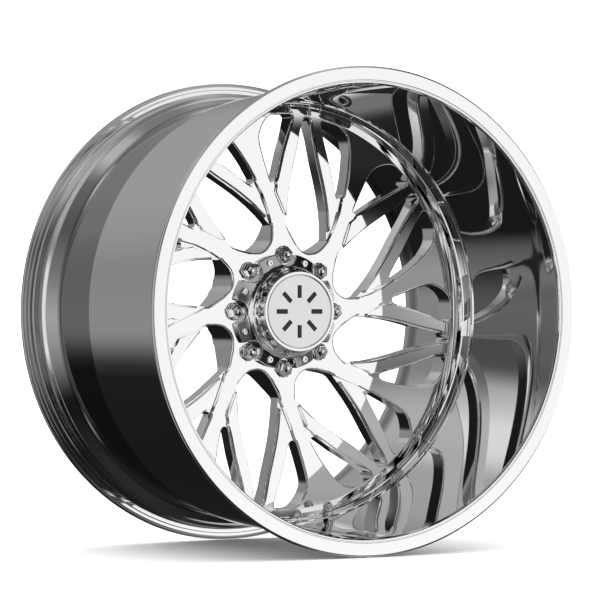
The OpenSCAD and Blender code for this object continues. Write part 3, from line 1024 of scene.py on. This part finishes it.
# The photograph's camera: its distance in flange radii, its angle to the left of the street side,
# how far it aims past the wheel's centre in radians, its lens and its upward shift
CAMERA_DISTANCE = 13.6425
CAMERA_ANGLE = 29.82
CAMERA_AIM = 0.0012
LENS = 193.456
SENSOR = 36
SHIFT_Y = 0.01914


def stage_floor():
    """A plain white floor just under the wheel. The metal mirrors the room and not the floor."""
    size = FLOOR_HALF
    z = -(FLANGE_R + FLOOR_GAP) * MM
    mesh = bpy.data.meshes.new("floor")
    corners = [(-size, -size, z), (size, -size, z), (size, size, z), (-size, size, z)]
    mesh.from_pydata(corners, [], [(0, 1, 2, 3)])
    floor = bpy.data.objects.new("floor", mesh)
    bpy.context.scene.collection.objects.link(floor)
    mat, _, shader = material("floor_white", grey(0.9), 0.0, 0.9)
    shader.inputs["Specular IOR Level"].default_value = 0.0
    mesh.materials.append(mat)
    floor.visible_glossy = False


def math_node(tree, operation, first, second=None):
    """The result of an operation on one or two values, each a number or a node's output."""
    node = tree.nodes.new("ShaderNodeMath")
    node.operation = operation
    for socket, value in zip(node.inputs, (first, second)):
        if isinstance(value, (int, float)):
            socket.default_value = value
        elif value is not None:
            tree.links.new(value, socket)
    return node.outputs[0]


def fade(tree, value, half, soft):
    """1 where an angle in radians is within half a width, falling to 0 over a soft edge.

    half and soft are in degrees.
    """
    node = tree.nodes.new("ShaderNodeMapRange")
    node.interpolation_type = "SMOOTHSTEP"
    node.inputs["From Min"].default_value = math.radians(half - soft)
    node.inputs["From Max"].default_value = math.radians(half + soft)
    node.inputs["To Min"].default_value = 1.0
    node.inputs["To Max"].default_value = 0.0
    tree.links.new(value, node.inputs["Value"])
    return node.outputs[0]


def softbox(tree, coord, height, box):
    """The brightness that one softbox adds in each direction."""
    azimuth, elevation, half_az, half_el, soft_az, soft_el, strength = box
    turn = tree.nodes.new("ShaderNodeVectorRotate")
    turn.rotation_type = "Z_AXIS"
    turn.inputs["Angle"].default_value = math.radians(-azimuth)
    tree.links.new(coord, turn.inputs["Vector"])
    xyz = tree.nodes.new("ShaderNodeSeparateXYZ")
    tree.links.new(turn.outputs[0], xyz.inputs[0])
    ahead = math_node(tree, "MULTIPLY", xyz.outputs["Y"], -1.0)
    side = math_node(tree, "ABSOLUTE", math_node(tree, "ARCTAN2", xyz.outputs["X"], ahead))
    above = math_node(tree, "SUBTRACT", height, math.radians(elevation))
    rise = math_node(tree, "ABSOLUTE", above)
    across = fade(tree, side, half_az, soft_az)
    upright = fade(tree, rise, half_el, soft_el)
    return math_node(tree, "MULTIPLY", math_node(tree, "MULTIPLY", across, upright), strength)


def mirrored_room(tree):
    """The studio as the metal mirrors it: a dim gradient with softboxes round it."""
    coord = tree.nodes.new("ShaderNodeTexCoord").outputs["Generated"]
    split = tree.nodes.new("ShaderNodeSeparateXYZ")
    tree.links.new(coord, split.inputs[0])
    height = math_node(tree, "ARCSINE", split.outputs["Z"])
    ramp = tree.nodes.new("ShaderNodeValToRGB")
    set_ramp(ramp.color_ramp, [(elevation / 180 + 0.5, tone) for elevation, tone in ROOM_GRADIENT])
    share = math_node(tree, "ADD", math_node(tree, "MULTIPLY", height, 1 / math.pi), 0.5)
    tree.links.new(share, ramp.inputs[0])
    total = ramp.outputs["Color"]
    for box in SOFTBOXES:
        total = math_node(tree, "ADD", total, softbox(tree, coord, height, box))
    room = tree.nodes.new("ShaderNodeBackground")
    tree.links.new(total, room.inputs["Strength"])
    return room.outputs[0]


def world_light():
    """The camera and the floor see an even white room, and the metal mirrors the studio."""
    world = bpy.data.worlds.new("studio")
    bpy.context.scene.world = world
    world.use_nodes = True
    tree = world.node_tree
    tree.nodes.clear()
    # the room has no small bright source, so it isn't sampled as a lamp
    world.cycles.sampling_method = "NONE"
    white = tree.nodes.new("ShaderNodeBackground")
    white.inputs["Strength"].default_value = WHITE_ROOM
    path = tree.nodes.new("ShaderNodeLightPath")
    even = math_node(tree, "MAXIMUM", path.outputs["Is Camera Ray"], path.outputs["Is Diffuse Ray"])
    mix = tree.nodes.new("ShaderNodeMixShader")
    tree.links.new(even, mix.inputs[0])
    tree.links.new(mirrored_room(tree), mix.inputs[1])
    tree.links.new(white.outputs[0], mix.inputs[2])
    out = tree.nodes.new("ShaderNodeOutputWorld")
    tree.links.new(mix.outputs[0], out.inputs["Surface"])


def camera():
    """The photograph's view, at the height of the axle."""
    distance = CAMERA_DISTANCE * FLANGE_R * MM
    angle = math.radians(CAMERA_ANGLE)
    data = bpy.data.cameras.new("camera")
    data.lens = LENS
    data.sensor_width = SENSOR
    data.shift_y = SHIFT_Y
    data.clip_end = 200
    cam = bpy.data.objects.new("camera", data)
    cam.location = (-distance * math.sin(angle), -distance * math.cos(angle), 0)
    cam.rotation_euler = (math.pi / 2, 0, -(angle + CAMERA_AIM))
    bpy.context.scene.collection.objects.link(cam)
    bpy.context.scene.camera = cam


# ---------------------------------------------------------------- build

wheel_centre()
outer_lip()
inner_barrel()
lug_nuts()
cap_base()
cap_tower()
cap_disc()
cap_ring()
emblem()
cap_screws()
valve_stem()
valve_nut()
valve_washer()
valve_cap()
dress_all()

stage_floor()
world_light()
camera()
bpy.context.scene.view_settings.view_transform = "Standard"
